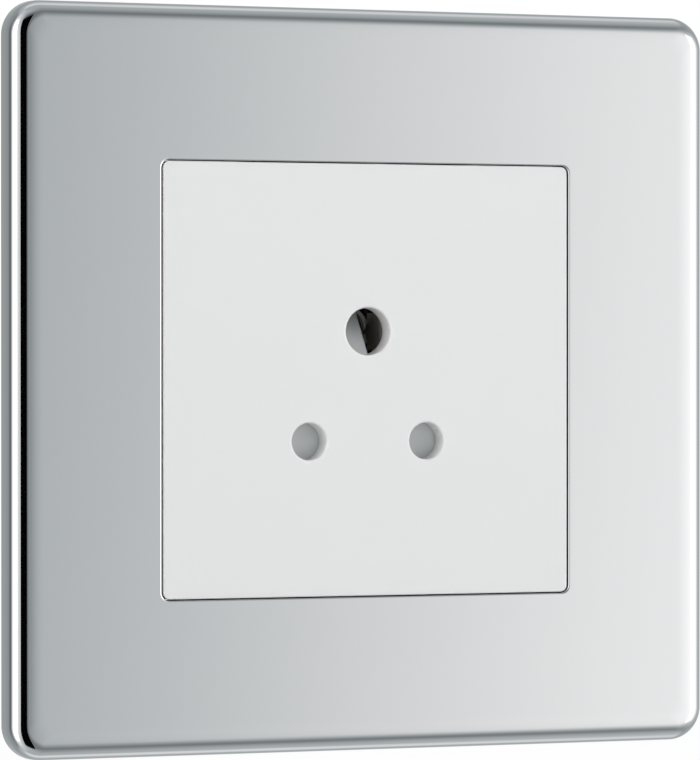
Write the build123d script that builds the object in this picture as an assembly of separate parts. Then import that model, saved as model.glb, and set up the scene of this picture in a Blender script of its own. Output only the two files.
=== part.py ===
from build123d import *
import math
import os

# Round pin wall socket. Millimetres, X to the right, Y into the wall, Z up.
# The origin is the centre of the plate on the wall's surface, so the front is at negative Y.

# Distance between the two fixing screws of a wall box
FIXING_CENTRES = 60.3

# Front plate, a sheet pressing
PLATE_SIZE = 86.0
PLATE_DEPTH = 4.0
PLATE_SHEET = 1.0
PLATE_CORNER_R = 4.0
PLATE_SHOULDER_R = 2.2
PLATE_DRAFT_DEG = 2.0
PLATE_RIM_ROUND = 0.25
WINDOW_EDGE_ROUND = 0.22
WINDOW_CORNER_R = 1.0

# Insert cover, a white moulding flush with the plate
COVER_FROM_FIXING = 5.2
COVER_SIZE = FIXING_CENTRES - 2 * COVER_FROM_FIXING
COVER_CORNER_R = 0.8
COVER_EDGE_ROUND = 0.18
COVER_GAP = 0.2
COVER_WALL = 1.8
FRONT_WALL = 2.8
SKIRT_DEPTH = 12.0
EAR_LENGTH = 9.0
EAR_REACH = 5.0
EAR_THICK = 2.2
EAR_PLACE_X = 9.5
EAR_CORNER_R = 1.2

# Pin holes, measured from the centre of the cover
LINE_PIN_D = 3.56
EARTH_PIN_D = 5.08
LINE_PIN_LENGTH = 15.24
EARTH_PIN_LENGTH = 20.6
LINE_HOLE_R = 2.15
EARTH_HOLE_R = 2.75
PIN_SPACING = 14.5
EARTH_Z = 5.6
LINE_Z = -7.1
HOLE_MOUTH_ROUND = 0.28

# Shutter, a slider behind the front wall
SLIDE_GAP = 0.15
BLADE_THICK = 1.6
BLADE_MARGIN = 1.15
BLADE_TOP_LAP = 0.55
STEM_HALF_WIDTH = 3.2
STEM_TOP_Z = 2.4
RAMP_RIGHT_X = 1.1
RAMP_FOOT_Z = 2.9
RAMP_TOP_Z = 8.2
RAMP_SLOPE_DEG = 38.7
RAMP_EDGE_ROUND = 0.2
OPEN_CLEARANCE = 0.16
FOOT_HALF_WIDTH = 2.6
FOOT_HEIGHT = 3.4

# Shutter spring
SPRING_WIRE_D = 0.45
SPRING_OUTER_D = 4.2
SPRING_TURNS = 7.0
SPIGOT_R = 1.35
SPIGOT_LENGTH = 1.6

# Inner deck
SHUTTER_ROOM = 5.4
DECK_THICK = 2.2
DECK_FIT = 0.15
GUIDE_WALL = 1.5
GUIDE_LENGTH = 13.0
SHELF_THICK = 1.8
SHELF_HALF_WIDTH = 3.5
SHELF_FROM_SKIRT = 2.15
SLEEVE_CLEARANCE = 0.25

# Contacts: a slit sleeve with a flat tail
CONTACT_WALL = 0.7
LINE_SLEEVE_FRONT_Y = 1.0
EARTH_SLEEVE_BACK_FROM_DECK = 0.3
SLEEVE_PAST_TIP = 1.2
TAIL_THICK = 0.8
TAIL_WIDTH = 4.6
SLIT_WIDTH = 0.5
SLIT_DEPTH_SHARE = 0.8
SLEEVE_LEAD_IN = 0.25
LEAF_THICK = 0.35
LEAF_HALF_WIDTH = 2.2
LEAF_NECK_HALF_WIDTH = 1.0
LEAF_FROM_COVER = 0.9

# Terminals: drilled blocks with a clamping screw
TERMINAL_WIDTH = 8.0
TERMINAL_HEIGHT = 7.0
TERMINAL_LENGTH = 11.6
TERMINAL_EDGE = 0.3
TERMINAL_FROM_LINE_SLEEVE = 1.67
TERMINAL_FROM_EARTH_SLEEVE = 0.86
WIRE_HOLE_R = 1.9
WIRE_HOLE_FROM_FRONT = 5.4
TERMINAL_SCREW_R = 1.75
TERMINAL_SCREW_HEAD_R = 2.6
TERMINAL_SCREW_HEAD = 1.9
TERMINAL_SCREW_BACKED_OUT = 0.3
SCREW_CLEARANCE = 0.05
SCREW_SLOT = 0.7
SCREW_SLOT_DEPTH = 0.9
SCREW_EDGE_ROUND = 0.4

# Base moulding
BASE_BACK_Y = 24.0
BASE_STEP = 1.65
BASE_SIZE = COVER_SIZE - 2 * BASE_STEP
BASE_CORNER_R = 3.0
BASE_DRAFT_DEG = 2.0
FLANGE_THICK = 2.0
WELL_FIT = 0.2
WIRE_GROOVE_WIDTH = 4.4
ACCESS_HOLE_R = 2.95
POCKET_FLOOR_WALL = 2.06
POCKET_CORNER_R = 1.0
POCKET_RIB = 1.6
PEG_R = 1.5
PEG_FROM_SIDE = 5.95
PEG_PLACE = COVER_SIZE / 2 - PEG_FROM_SIDE
PEG_LENGTH = 3.4

# Cover screws, driven from the back into bosses of the cover
UPPER_SCREW_FROM_SIDE = 7.45
UPPER_SCREW_X = COVER_SIZE / 2 - UPPER_SCREW_FROM_SIDE
UPPER_SCREW_Z = 4.0
LOWER_SCREW_X = 8.5
LOWER_SCREW_FROM_SIDE = 5.55
LOWER_SCREW_Z = LOWER_SCREW_FROM_SIDE - COVER_SIZE / 2
COVER_SCREW_PLACES = {
    "top_left": (-UPPER_SCREW_X, UPPER_SCREW_Z),
    "top_right": (UPPER_SCREW_X, UPPER_SCREW_Z),
    "bottom_left": (-LOWER_SCREW_X, LOWER_SCREW_Z),
    "bottom_right": (LOWER_SCREW_X, LOWER_SCREW_Z),
}
COVER_SCREW_R = 1.45
COVER_SCREW_HEAD_R = 2.7
COVER_SCREW_HEAD = 1.9
COVER_SCREW_SEAT_Y = 15.5
COVER_SCREW_BITE = 3.8
COVER_SCREW_HEAD_FIT = 0.2
PILOT_SPARE = 0.4
BOSS_WALL = 1.7

# Mounting yoke, a flat steel stamping on the wall
YOKE_INSET = 5.0
YOKE_SIZE = PLATE_SIZE - 2 * YOKE_INSET
YOKE_THICK = 1.2
YOKE_CORNER_R = 4.0
YOKE_WINDOW_GAP = 0.55
FIXING_SLOT_WIDTH = 4.0
FIXING_SLOT_LENGTH = 6.4

# Rivets
RIVET_R = 1.2
RIVET_HEAD_R = 2.1
RIVET_HEAD = 0.5
RIVET_FROM_COVER = 2.55
RIVET_PLACE_Z = COVER_SIZE / 2 + RIVET_FROM_COVER
RIVET_HEAD_ROUND = 0.3

# Carrier frame inside the plate
CARRIER_THICK = 1.1
CARRIER_EDGE_GAP = 0.4
CARRIER_RIM_WALL = 2.6
CARRIER_RIM_BACK_Y = -0.4
CARRIER_COVER_GAP = 0.1
SCREW_ROOM_R = 4.2
HOOK_X = 22.0
HOOK_FROM_YOKE_EDGE = 5.8
HOOK_Z = YOKE_SIZE / 2 - HOOK_FROM_YOKE_EDGE
HOOK_WIDTH = 6.0
HOOK_THICK = 1.2
HOOK_BARB = 0.7
HOOK_REACH = 1.9
HOOK_GAP = 0.1

# Earth strap from the earth terminal to the yoke
STRAP_THICK = 0.6
STRAP_WIDTH = 4.5
STRAP_BEND_R = 0.8
STRAP_GAP = 0.25
STRAP_FOOT = 5.2
STRAP_TURN_Y = 14.0
STRAP_TAB = 4.2
STRAP_RIVET_R = 1.0
STRAP_RIVET_FROM_END = 2.2
STRAP_GROOVE_FIT = 0.35

# Places along Y worked out from the sizes above
FACE_Y = -PLATE_DEPTH
COVER_INNER_Y = FACE_Y + FRONT_WALL
COVER_BACK_Y = FACE_Y + SKIRT_DEPTH
BLADE_FRONT_Y = COVER_INNER_Y + SLIDE_GAP
BLADE_BACK_Y = BLADE_FRONT_Y + BLADE_THICK
DECK_FRONT_Y = COVER_INNER_Y + SHUTTER_ROOM
DECK_BACK_Y = DECK_FRONT_Y + DECK_THICK
SHUTTER_BACK_Y = DECK_FRONT_Y - SLIDE_GAP
SPRING_Y = BLADE_FRONT_Y + SPRING_OUTER_D / 2 + SLIDE_GAP
TAIL_BACK_Y = DECK_BACK_Y + TAIL_THICK
TERMINAL_BACK_Y = TAIL_BACK_Y + TERMINAL_LENGTH
WIRE_HOLE_Y = TAIL_BACK_Y + WIRE_HOLE_FROM_FRONT
FLANGE_BACK_Y = COVER_BACK_Y + FLANGE_THICK
LINE_SLEEVE_BACK_Y = FACE_Y + LINE_PIN_LENGTH + SLEEVE_PAST_TIP
EARTH_SLEEVE_FRONT_Y = DECK_FRONT_Y + EARTH_SLEEVE_BACK_FROM_DECK
EARTH_SLEEVE_BACK_Y = FACE_Y + EARTH_PIN_LENGTH + SLEEVE_PAST_TIP
YOKE_FRONT_Y = -YOKE_THICK
CARRIER_BACK_Y = FACE_Y + PLATE_SHEET + CARRIER_THICK

# Places across the face
WINDOW_SIZE = COVER_SIZE + 2 * COVER_GAP
COVER_INNER_SIZE = COVER_SIZE - 2 * COVER_WALL
DECK_SIZE = COVER_INNER_SIZE - 2 * DECK_FIT
YOKE_WINDOW = COVER_SIZE + 2 * YOKE_WINDOW_GAP
LINE_X = PIN_SPACING / 2
BLADE_TOP_Z = LINE_Z + LINE_HOLE_R + BLADE_TOP_LAP
BLADE_HALF_WIDTH = LINE_X + LINE_HOLE_R + BLADE_MARGIN
BLADE_LOW_Z = LINE_Z - LINE_HOLE_R - BLADE_MARGIN
SHUTTER_TRAVEL = RAMP_TOP_Z - (EARTH_Z - EARTH_PIN_D / 2) + OPEN_CLEARANCE
SHELF_TOP_Z = SHELF_FROM_SKIRT - COVER_INNER_SIZE / 2
SPRING_LENGTH = BLADE_LOW_Z - SHELF_TOP_Z
GUIDE_TOP_Z = BLADE_TOP_Z + GUIDE_WALL
LINE_SLEEVE_R = LINE_PIN_D / 2 + CONTACT_WALL
EARTH_SLEEVE_R = EARTH_PIN_D / 2 + CONTACT_WALL
LINE_TERMINAL_X = LINE_X + LINE_SLEEVE_R + TERMINAL_FROM_LINE_SLEEVE + TERMINAL_WIDTH / 2
EARTH_TERMINAL_Z = EARTH_Z + EARTH_SLEEVE_R + TERMINAL_FROM_EARTH_SLEEVE + TERMINAL_HEIGHT / 2
STRAP_LEG_Z = COVER_SIZE / 2 + STRAP_GAP + STRAP_THICK / 2
STRAP_TAB_Z = EARTH_TERMINAL_Z + TERMINAL_HEIGHT / 2 + STRAP_THICK / 2
STRAP_RIVET_Z = STRAP_LEG_Z + STRAP_FOOT - STRAP_RIVET_FROM_END


def slab(outline, front_y, back_y, taper=0.0):
    """An outline drawn in X and Z, carried from back_y towards the front."""
    return extrude(Plane.XZ.offset(-back_y) * outline, amount=back_y - front_y, taper=taper)


def rect(left, right, low, high, corner=0.0):
    """A rectangle outline in X and Z, with rounded corners if a radius is given."""
    width, height = right - left, high - low
    shape = RectangleRounded(width, height, corner) if corner else Rectangle(width, height)
    return Pos((left + right) / 2, (low + high) / 2) * shape


def square(size, corner=0.0):
    """A centred square outline."""
    return rect(-size / 2, size / 2, -size / 2, size / 2, corner)


def disc(x, z, radius):
    """A circle outline at a place in X and Z."""
    return Pos(x, z) * Circle(radius)


def side_profile(points, left, right):
    """A closed outline of (y, z) points, carried along X from left to right."""
    outline = make_face(Polyline([(left, y, z) for y, z in points], close=True))
    return extrude(outline, amount=right - left, dir=(1, 0, 0))


def pressed_form(size, depth, corner, shoulder):
    """A drafted square tray, closed at the front, with a rolled shoulder."""
    form = slab(square(size, corner), -depth, 0, PLATE_DRAFT_DEG)
    return fillet(form.faces().sort_by(Axis.Y)[0].edges(), shoulder)


def front_plate():
    """Sheet pressing: an outer form less the same form one sheet smaller, with a window."""
    outer = pressed_form(PLATE_SIZE, PLATE_DEPTH, PLATE_CORNER_R, PLATE_SHOULDER_R)
    outer = fillet(outer.faces().sort_by(Axis.Y)[-1].edges(), PLATE_RIM_ROUND)
    inner = pressed_form(
        PLATE_SIZE - 2 * PLATE_SHEET,
        PLATE_DEPTH - PLATE_SHEET,
        PLATE_CORNER_R - PLATE_SHEET,
        PLATE_SHOULDER_R - PLATE_SHEET,
    )
    sheet = outer - inner - slab(square(WINDOW_SIZE, WINDOW_CORNER_R), FACE_Y, 0)
    window = sheet.faces().sort_by(Axis.Y)[0].inner_wires()[0]
    return fillet(window.edges(), WINDOW_EDGE_ROUND)


def insert_cover():
    """Front moulding: drilled front wall, skirt, screw bosses and riveting ears."""
    half, inner = COVER_SIZE / 2, COVER_INNER_SIZE / 2
    cover = slab(square(COVER_SIZE, COVER_CORNER_R), FACE_Y, COVER_BACK_Y)
    cover -= slab(square(COVER_INNER_SIZE, COVER_CORNER_R), COVER_INNER_Y, COVER_BACK_Y)
    boss_r = COVER_SCREW_R + BOSS_WALL
    for x, z in COVER_SCREW_PLACES.values():
        web = rect(-inner, x, z - BOSS_WALL / 2, z + BOSS_WALL / 2)
        if x > 0:
            web = rect(x, inner, z - BOSS_WALL / 2, z + BOSS_WALL / 2)
        if abs(z) > abs(x):
            web = rect(x - BOSS_WALL / 2, x + BOSS_WALL / 2, -inner, z)
        cover += slab(disc(x, z, boss_r), COVER_INNER_Y, DECK_FRONT_Y)
        cover += slab(web, COVER_INNER_Y, DECK_FRONT_Y)
    for side in (-1, 1):
        cover += slab(disc(side * PEG_PLACE, PEG_PLACE, boss_r), COVER_INNER_Y, DECK_FRONT_Y)
        for level in (-1, 1):
            ear = rect(-EAR_LENGTH / 2, EAR_LENGTH / 2, half - EAR_CORNER_R, half + EAR_REACH, EAR_CORNER_R)
            ear = Pos(side * EAR_PLACE_X, 0) * (ear if level > 0 else mirror(ear, Plane.XZ))
            cover += slab(ear, 0, EAR_THICK)
    cover -= slab(square(COVER_INNER_SIZE, COVER_CORNER_R), DECK_FRONT_Y, COVER_BACK_Y)
    for x, z in COVER_SCREW_PLACES.values():
        hole = disc(x, z, COVER_SCREW_R + SCREW_CLEARANCE)
        cover -= slab(hole, DECK_FRONT_Y - COVER_SCREW_BITE - PILOT_SPARE, DECK_FRONT_Y)
    for side in (-1, 1):
        hole = disc(side * PEG_PLACE, PEG_PLACE, PEG_R + SCREW_CLEARANCE)
        cover -= slab(hole, DECK_FRONT_Y - PEG_LENGTH - PILOT_SPARE, DECK_FRONT_Y)
        for level in (-1, 1):
            hole = disc(side * EAR_PLACE_X, level * RIVET_PLACE_Z, RIVET_R + SCREW_CLEARANCE)
            cover -= slab(hole, 0, EAR_THICK)
    front = cover.faces().sort_by(Axis.Y)[0]
    cover = fillet(front.outer_wire().edges(), COVER_EDGE_ROUND)
    for x, z, radius in pin_holes(LINE_HOLE_R, EARTH_HOLE_R):
        cover -= slab(disc(x, z, radius), FACE_Y, COVER_INNER_Y)
    front = cover.faces().sort_by(Axis.Y)[0]
    mouths = [edge for wire in front.inner_wires() for edge in wire.edges()]
    return fillet(mouths, HOLE_MOUTH_ROUND)


def pin_holes(line_radius, earth_radius):
    """The three pin places with a radius for each: neutral on the left, line on the right."""
    return [(-LINE_X, LINE_Z, line_radius), (LINE_X, LINE_Z, line_radius), (0, EARTH_Z, earth_radius)]


def shutter():
    """Slider: a blade across the lower holes, a stem, a ramp for the earth pin and a spring foot."""
    blade = rect(-BLADE_HALF_WIDTH, BLADE_HALF_WIDTH, BLADE_LOW_Z, BLADE_TOP_Z)
    stem = rect(-STEM_HALF_WIDTH, STEM_HALF_WIDTH, BLADE_LOW_Z, STEM_TOP_Z)
    slider = slab(blade, BLADE_FRONT_Y, BLADE_BACK_Y) + slab(stem, BLADE_FRONT_Y, BLADE_BACK_Y)
    rise = RAMP_TOP_Z - RAMP_FOOT_Z
    ramp_end_y = BLADE_FRONT_Y + rise * math.tan(math.radians(RAMP_SLOPE_DEG))
    low_z = STEM_TOP_Z - BLADE_THICK
    ramp_points = [
        (BLADE_FRONT_Y, low_z),
        (BLADE_FRONT_Y, RAMP_FOOT_Z),
        (ramp_end_y, RAMP_TOP_Z),
        (SHUTTER_BACK_Y, RAMP_TOP_Z),
        (SHUTTER_BACK_Y, low_z),
    ]
    ramp = side_profile(ramp_points, -STEM_HALF_WIDTH, RAMP_RIGHT_X)
    slope = ramp.faces().sort_by(Axis.Y)[0:2].sort_by(Axis.Z)[-1]
    right_edge = slope.edges().sort_by(Axis.X)[-1]
    slider += fillet(right_edge, RAMP_EDGE_ROUND)
    foot = rect(-FOOT_HALF_WIDTH, FOOT_HALF_WIDTH, BLADE_LOW_Z, BLADE_LOW_Z + FOOT_HEIGHT)
    slider += slab(foot, BLADE_BACK_Y, SHUTTER_BACK_Y)
    slider += spigot(BLADE_LOW_Z - SPIGOT_LENGTH)
    return slider


def spigot(low_z):
    """A short upright pin on the spring's axis."""
    pin = Cylinder(SPIGOT_R, SPIGOT_LENGTH, align=(Align.CENTER, Align.CENTER, Align.MIN))
    return Pos(0, SPRING_Y, low_z) * pin


def shutter_spring():
    """Compression coil between the shelf of the deck and the foot of the shutter."""
    height = SPRING_LENGTH - SPRING_WIRE_D
    radius = (SPRING_OUTER_D - SPRING_WIRE_D) / 2
    path = Helix(height / SPRING_TURNS, height, radius)
    section = Plane(origin=path @ 0, z_dir=path % 0) * Circle(SPRING_WIRE_D / 2)
    coil = sweep(section, path=path, is_frenet=True)
    return Pos(0, SPRING_Y, SHELF_TOP_Z + SPRING_WIRE_D / 2) * coil


def inner_deck():
    """Plate behind the shutter, with backing pads, side guides, stops and the spring shelf."""
    deck = slab(square(DECK_SIZE, COVER_CORNER_R), DECK_FRONT_Y, DECK_BACK_Y)
    pad_front_y = BLADE_BACK_Y + SLIDE_GAP
    guide_front_y = COVER_INNER_Y + SLIDE_GAP
    guide_low_z = GUIDE_TOP_Z - GUIDE_LENGTH
    inner_x = STEM_HALF_WIDTH + 2 * SLIDE_GAP
    outer_x = BLADE_HALF_WIDTH + SLIDE_GAP
    for side in (-1, 1):
        pad = rect(inner_x, outer_x, guide_low_z, GUIDE_TOP_Z)
        guide = rect(outer_x, outer_x + GUIDE_WALL, guide_low_z, GUIDE_TOP_Z)
        stop = rect(inner_x, outer_x, BLADE_TOP_Z + SLIDE_GAP, GUIDE_TOP_Z)
        for outline, front_y in ((pad, pad_front_y), (guide, guide_front_y), (stop, guide_front_y)):
            placed = outline if side > 0 else mirror(outline, Plane.YZ)
            deck += slab(placed, front_y, DECK_FRONT_Y)
    shelf = rect(-SHELF_HALF_WIDTH, SHELF_HALF_WIDTH, SHELF_TOP_Z - SHELF_THICK, SHELF_TOP_Z)
    deck += slab(shelf, guide_front_y, DECK_FRONT_Y)
    deck += spigot(SHELF_TOP_Z)
    tunnels = pin_holes(LINE_SLEEVE_R + SLEEVE_CLEARANCE, EARTH_SLEEVE_R + SLEEVE_CLEARANCE)
    for x, z, radius in tunnels:
        deck -= slab(disc(x, z, radius), COVER_INNER_Y, DECK_BACK_Y)
    for x, z in COVER_SCREW_PLACES.values():
        deck -= slab(disc(x, z, COVER_SCREW_R + SLEEVE_CLEARANCE), DECK_FRONT_Y, DECK_BACK_Y)
    for side in (-1, 1):
        deck -= slab(disc(side * PEG_PLACE, PEG_PLACE, PEG_R + SLEEVE_CLEARANCE), DECK_FRONT_Y, DECK_BACK_Y)
    return deck


def contact(x, z, pin_d, front_y, back_y, tail):
    """A slit sleeve on a pin's axis with a flat tail that lies under a terminal block."""
    outer_r = pin_d / 2 + CONTACT_WALL
    sleeve = slab(disc(x, z, outer_r), front_y, back_y)
    sleeve += slab(tail, DECK_BACK_Y, TAIL_BACK_Y)
    sleeve -= slab(disc(x, z, pin_d / 2), front_y, back_y)
    mouth = sleeve.faces().sort_by(Axis.Y)[0].inner_wires()[0]
    sleeve = chamfer(mouth.edges(), SLEEVE_LEAD_IN)
    slit_back_y = front_y + (DECK_BACK_Y - front_y) * SLIT_DEPTH_SHARE
    for width, height in ((SLIT_WIDTH, 2 * outer_r), (2 * outer_r, SLIT_WIDTH)):
        slit = rect(x - width / 2, x + width / 2, z - height / 2, z + height / 2)
        sleeve -= slab(slit, front_y, slit_back_y)
    return sleeve


def line_contact(side):
    """The contact for a lower pin; its tail runs sideways to the terminal."""
    end_x = LINE_TERMINAL_X + TERMINAL_WIDTH / 2
    start, end = sorted((side * LINE_X, side * end_x))
    tail = rect(start, end, LINE_Z - TAIL_WIDTH / 2, LINE_Z + TAIL_WIDTH / 2)
    return contact(side * LINE_X, LINE_Z, LINE_PIN_D, LINE_SLEEVE_FRONT_Y, LINE_SLEEVE_BACK_Y, tail)


def earth_contact():
    """The contact for the upper pin, with a flat leaf in front of the sleeve beside the ramp."""
    top_z = EARTH_TERMINAL_Z + TERMINAL_HEIGHT / 2
    tail = rect(-TAIL_WIDTH / 2, TAIL_WIDTH / 2, EARTH_Z, top_z)
    made = contact(0, EARTH_Z, EARTH_PIN_D, EARTH_SLEEVE_FRONT_Y, EARTH_SLEEVE_BACK_Y, tail)
    left = EARTH_PIN_D / 2 + SLEEVE_LEAD_IN
    front_y = COVER_INNER_Y + LEAF_FROM_COVER
    parts = (
        (LEAF_HALF_WIDTH, DECK_FRONT_Y - 2 * SLIDE_GAP),
        (LEAF_NECK_HALF_WIDTH, EARTH_SLEEVE_FRONT_Y + LEAF_THICK),
    )
    for half_width, back_y in parts:
        outline = rect(left, left + LEAF_THICK, EARTH_Z - half_width, EARTH_Z + half_width)
        made += slab(outline, front_y, back_y)
    return made


def terminal_outline(x, z, margin=0.0):
    """The outline of a terminal block, or of the well that holds it."""
    half_w, half_h = TERMINAL_WIDTH / 2 + margin, TERMINAL_HEIGHT / 2 + margin
    return rect(x - half_w, x + half_w, z - half_h, z + half_h)


def terminal(x, z, wire_along_x):
    """A drilled block: a wire hole across it and a screw hole from the back."""
    block = slab(terminal_outline(x, z), TAIL_BACK_Y, TERMINAL_BACK_Y)
    block = chamfer(block.edges().filter_by(Axis.Y), TERMINAL_EDGE)
    turn = Rot(0, 90, 0) if wire_along_x else Rot(0, 0, 0)
    block -= Pos(x, WIRE_HOLE_Y, z) * turn * Cylinder(WIRE_HOLE_R, 2 * TERMINAL_WIDTH)
    return block - slab(disc(x, z, TERMINAL_SCREW_R + SCREW_CLEARANCE), WIRE_HOLE_Y, TERMINAL_BACK_Y)


def terminal_screw(x, z):
    """A slotted screw, backed out until its tip is clear of the wire hole."""
    tip_y = WIRE_HOLE_Y + WIRE_HOLE_R + SCREW_CLEARANCE
    seat_y = TERMINAL_BACK_Y + TERMINAL_SCREW_BACKED_OUT
    head_y = seat_y + TERMINAL_SCREW_HEAD
    head = slab(disc(x, z, TERMINAL_SCREW_HEAD_R), seat_y, head_y)
    head = fillet(head.faces().sort_by(Axis.Y)[-1].edges(), SCREW_EDGE_ROUND)
    slot = rect(x - TERMINAL_SCREW_HEAD_R, x + TERMINAL_SCREW_HEAD_R, z - SCREW_SLOT / 2, z + SCREW_SLOT / 2)
    head -= slab(slot, head_y - SCREW_SLOT_DEPTH, head_y)
    return head + slab(disc(x, z, TERMINAL_SCREW_R), tip_y, seat_y)


def cover_screw(x, z):
    """A cross-recessed screw from the back of the base into a boss of the cover."""
    tip_y = DECK_FRONT_Y - COVER_SCREW_BITE
    head_y = COVER_SCREW_SEAT_Y + COVER_SCREW_HEAD
    head = slab(disc(x, z, COVER_SCREW_HEAD_R), COVER_SCREW_SEAT_Y, head_y)
    head = fillet(head.faces().sort_by(Axis.Y)[-1].edges(), SCREW_EDGE_ROUND)
    reach = COVER_SCREW_HEAD_R - 2 * SCREW_EDGE_ROUND
    for width, height in ((reach, SCREW_SLOT / 2), (SCREW_SLOT / 2, reach)):
        arm = rect(x - width, x + width, z - height, z + height)
        head -= slab(arm, head_y - SCREW_SLOT_DEPTH, head_y)
    return head + slab(disc(x, z, COVER_SCREW_R), tip_y, COVER_SCREW_SEAT_Y)


def base_moulding():
    """Rear housing: a rim inside the skirt, a flange, a drafted body, wells, grooves and pockets."""
    base = slab(square(DECK_SIZE, COVER_CORNER_R), DECK_BACK_Y, COVER_BACK_Y)
    base += slab(square(COVER_SIZE, COVER_CORNER_R), COVER_BACK_Y, FLANGE_BACK_Y)
    body = extrude(
        Plane.XZ.offset(-FLANGE_BACK_Y) * square(BASE_SIZE, BASE_CORNER_R),
        amount=-(BASE_BACK_Y - FLANGE_BACK_Y),
        taper=BASE_DRAFT_DEG,
    )
    base += body
    for side in (-1, 1):
        base += slab(disc(side * PEG_PLACE, PEG_PLACE, PEG_R), DECK_FRONT_Y - PEG_LENGTH, DECK_BACK_Y)
    base -= contact_wells()
    base -= wire_grooves()
    for x, z in COVER_SCREW_PLACES.values():
        base -= slab(disc(x, z, COVER_SCREW_R + SLEEVE_CLEARANCE), DECK_BACK_Y, COVER_SCREW_SEAT_Y)
        head = disc(x, z, COVER_SCREW_HEAD_R + COVER_SCREW_HEAD_FIT)
        base -= slab(head, COVER_SCREW_SEAT_Y, BASE_BACK_Y)
    return base - rear_pockets()


def contact_wells():
    """The hollows, open at the front, that take the sleeves, their tails and the terminals."""
    wells = []
    for x, z, radius in pin_holes(LINE_SLEEVE_R + SLEEVE_CLEARANCE, EARTH_SLEEVE_R + SLEEVE_CLEARANCE):
        end_y = (EARTH_SLEEVE_BACK_Y if z == EARTH_Z else LINE_SLEEVE_BACK_Y) + WELL_FIT
        wells.append(slab(disc(x, z, radius), DECK_BACK_Y, end_y))
    tail_half = TAIL_WIDTH / 2 + WELL_FIT
    for side in (-1, 1):
        start, end = sorted((side * LINE_X, side * LINE_TERMINAL_X))
        tail = rect(start, end, LINE_Z - tail_half, LINE_Z + tail_half)
        wells.append(slab(tail, DECK_BACK_Y, TAIL_BACK_Y))
    tail = rect(-tail_half, tail_half, EARTH_Z, EARTH_TERMINAL_Z)
    wells.append(slab(tail, DECK_BACK_Y, TAIL_BACK_Y))
    for x, z in terminal_places().values():
        wells.append(slab(terminal_outline(x, z, WELL_FIT), DECK_BACK_Y, TERMINAL_BACK_Y))
        wells.append(slab(disc(x, z, ACCESS_HOLE_R), TERMINAL_BACK_Y, BASE_BACK_Y))
    return wells


def wire_grooves():
    """The grooves, open at the back, that lead each wire to its terminal, and the strap's groove."""
    half = WIRE_GROOVE_WIDTH / 2
    floor_y = WIRE_HOLE_Y - half
    edge = BASE_SIZE / 2
    grooves = []
    for side in (-1, 1):
        x = side * LINE_TERMINAL_X
        outline = rect(x - half, x + half, -edge, LINE_Z)
        grooves.append(slab(outline, floor_y, BASE_BACK_Y))
    outline = rect(0, edge, EARTH_TERMINAL_Z - half, EARTH_TERMINAL_Z + half)
    grooves.append(slab(outline, floor_y, BASE_BACK_Y))
    strap_half = STRAP_WIDTH / 2 + STRAP_GROOVE_FIT
    outline = rect(-strap_half, strap_half, EARTH_TERMINAL_Z + TERMINAL_HEIGHT / 2, edge)
    grooves.append(slab(outline, STRAP_TURN_Y - STRAP_THICK / 2 - STRAP_GROOVE_FIT, BASE_BACK_Y))
    return grooves


def rear_pockets():
    """Hollows in the back that keep the wall of the moulding even."""
    floor_y = LINE_SLEEVE_BACK_Y + WELL_FIT + POCKET_FLOOR_WALL
    inner_z = LINE_Z + TERMINAL_HEIGHT / 2
    centre_x = LINE_TERMINAL_X - TERMINAL_WIDTH / 2 - WELL_FIT - POCKET_RIB
    low_z = COVER_SCREW_PLACES["bottom_left"][1] + COVER_SCREW_HEAD_R + POCKET_RIB
    left_top = rect(
        -PEG_PLACE, -TERMINAL_WIDTH / 2 - WELL_FIT - POCKET_RIB,
        COVER_SCREW_PLACES["top_left"][1] + COVER_SCREW_HEAD_R + POCKET_RIB, PEG_PLACE,
        POCKET_CORNER_R,
    )
    pockets = [slab(left_top, floor_y, BASE_BACK_Y)]
    for side in (-1, 1):
        start, end = sorted((side * POCKET_RIB / 2, side * centre_x))
        outline = rect(start, end, low_z, inner_z, POCKET_CORNER_R)
        pockets.append(slab(outline, floor_y, BASE_BACK_Y))
    return pockets


def terminal_places():
    """The centre of each terminal block in X and Z."""
    return {
        "earth": (0, EARTH_TERMINAL_Z),
        "line": (LINE_TERMINAL_X, LINE_Z),
        "neutral": (-LINE_TERMINAL_X, LINE_Z),
    }


def mounting_yoke():
    """Flat stamping with a window, two fixing slots, four hook windows and rivet holes."""
    yoke = square(YOKE_SIZE, YOKE_CORNER_R) - square(YOKE_WINDOW, WINDOW_CORNER_R)
    hook_room = HOOK_WIDTH / 2 + HOOK_BARB
    for side in (-1, 1):
        yoke -= Pos(side * FIXING_CENTRES / 2, 0) * SlotOverall(FIXING_SLOT_LENGTH, FIXING_SLOT_WIDTH)
        for level in (-1, 1):
            low, high = sorted((level * (HOOK_Z - HOOK_THICK - HOOK_BARB), level * (HOOK_Z + HOOK_GAP)))
            yoke -= rect(side * HOOK_X - hook_room, side * HOOK_X + hook_room, low, high)
            yoke -= disc(side * EAR_PLACE_X, level * RIVET_PLACE_Z, RIVET_R + SCREW_CLEARANCE)
    yoke -= disc(0, STRAP_RIVET_Z, STRAP_RIVET_R + SCREW_CLEARANCE)
    return slab(yoke, YOKE_FRONT_Y, 0)


def rivet(x, z, radius, head_r, back_y):
    """A rivet through the yoke and what lies behind it, with a rounded head at each end."""
    pin = slab(disc(x, z, radius), YOKE_FRONT_Y, back_y)
    front = slab(disc(x, z, head_r), YOKE_FRONT_Y - RIVET_HEAD, YOKE_FRONT_Y)
    back = slab(disc(x, z, head_r), back_y, back_y + RIVET_HEAD)
    front = fillet(front.faces().sort_by(Axis.Y)[0].edges(), RIVET_HEAD_ROUND)
    back = fillet(back.faces().sort_by(Axis.Y)[-1].edges(), RIVET_HEAD_ROUND)
    return pin + front + back


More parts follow.
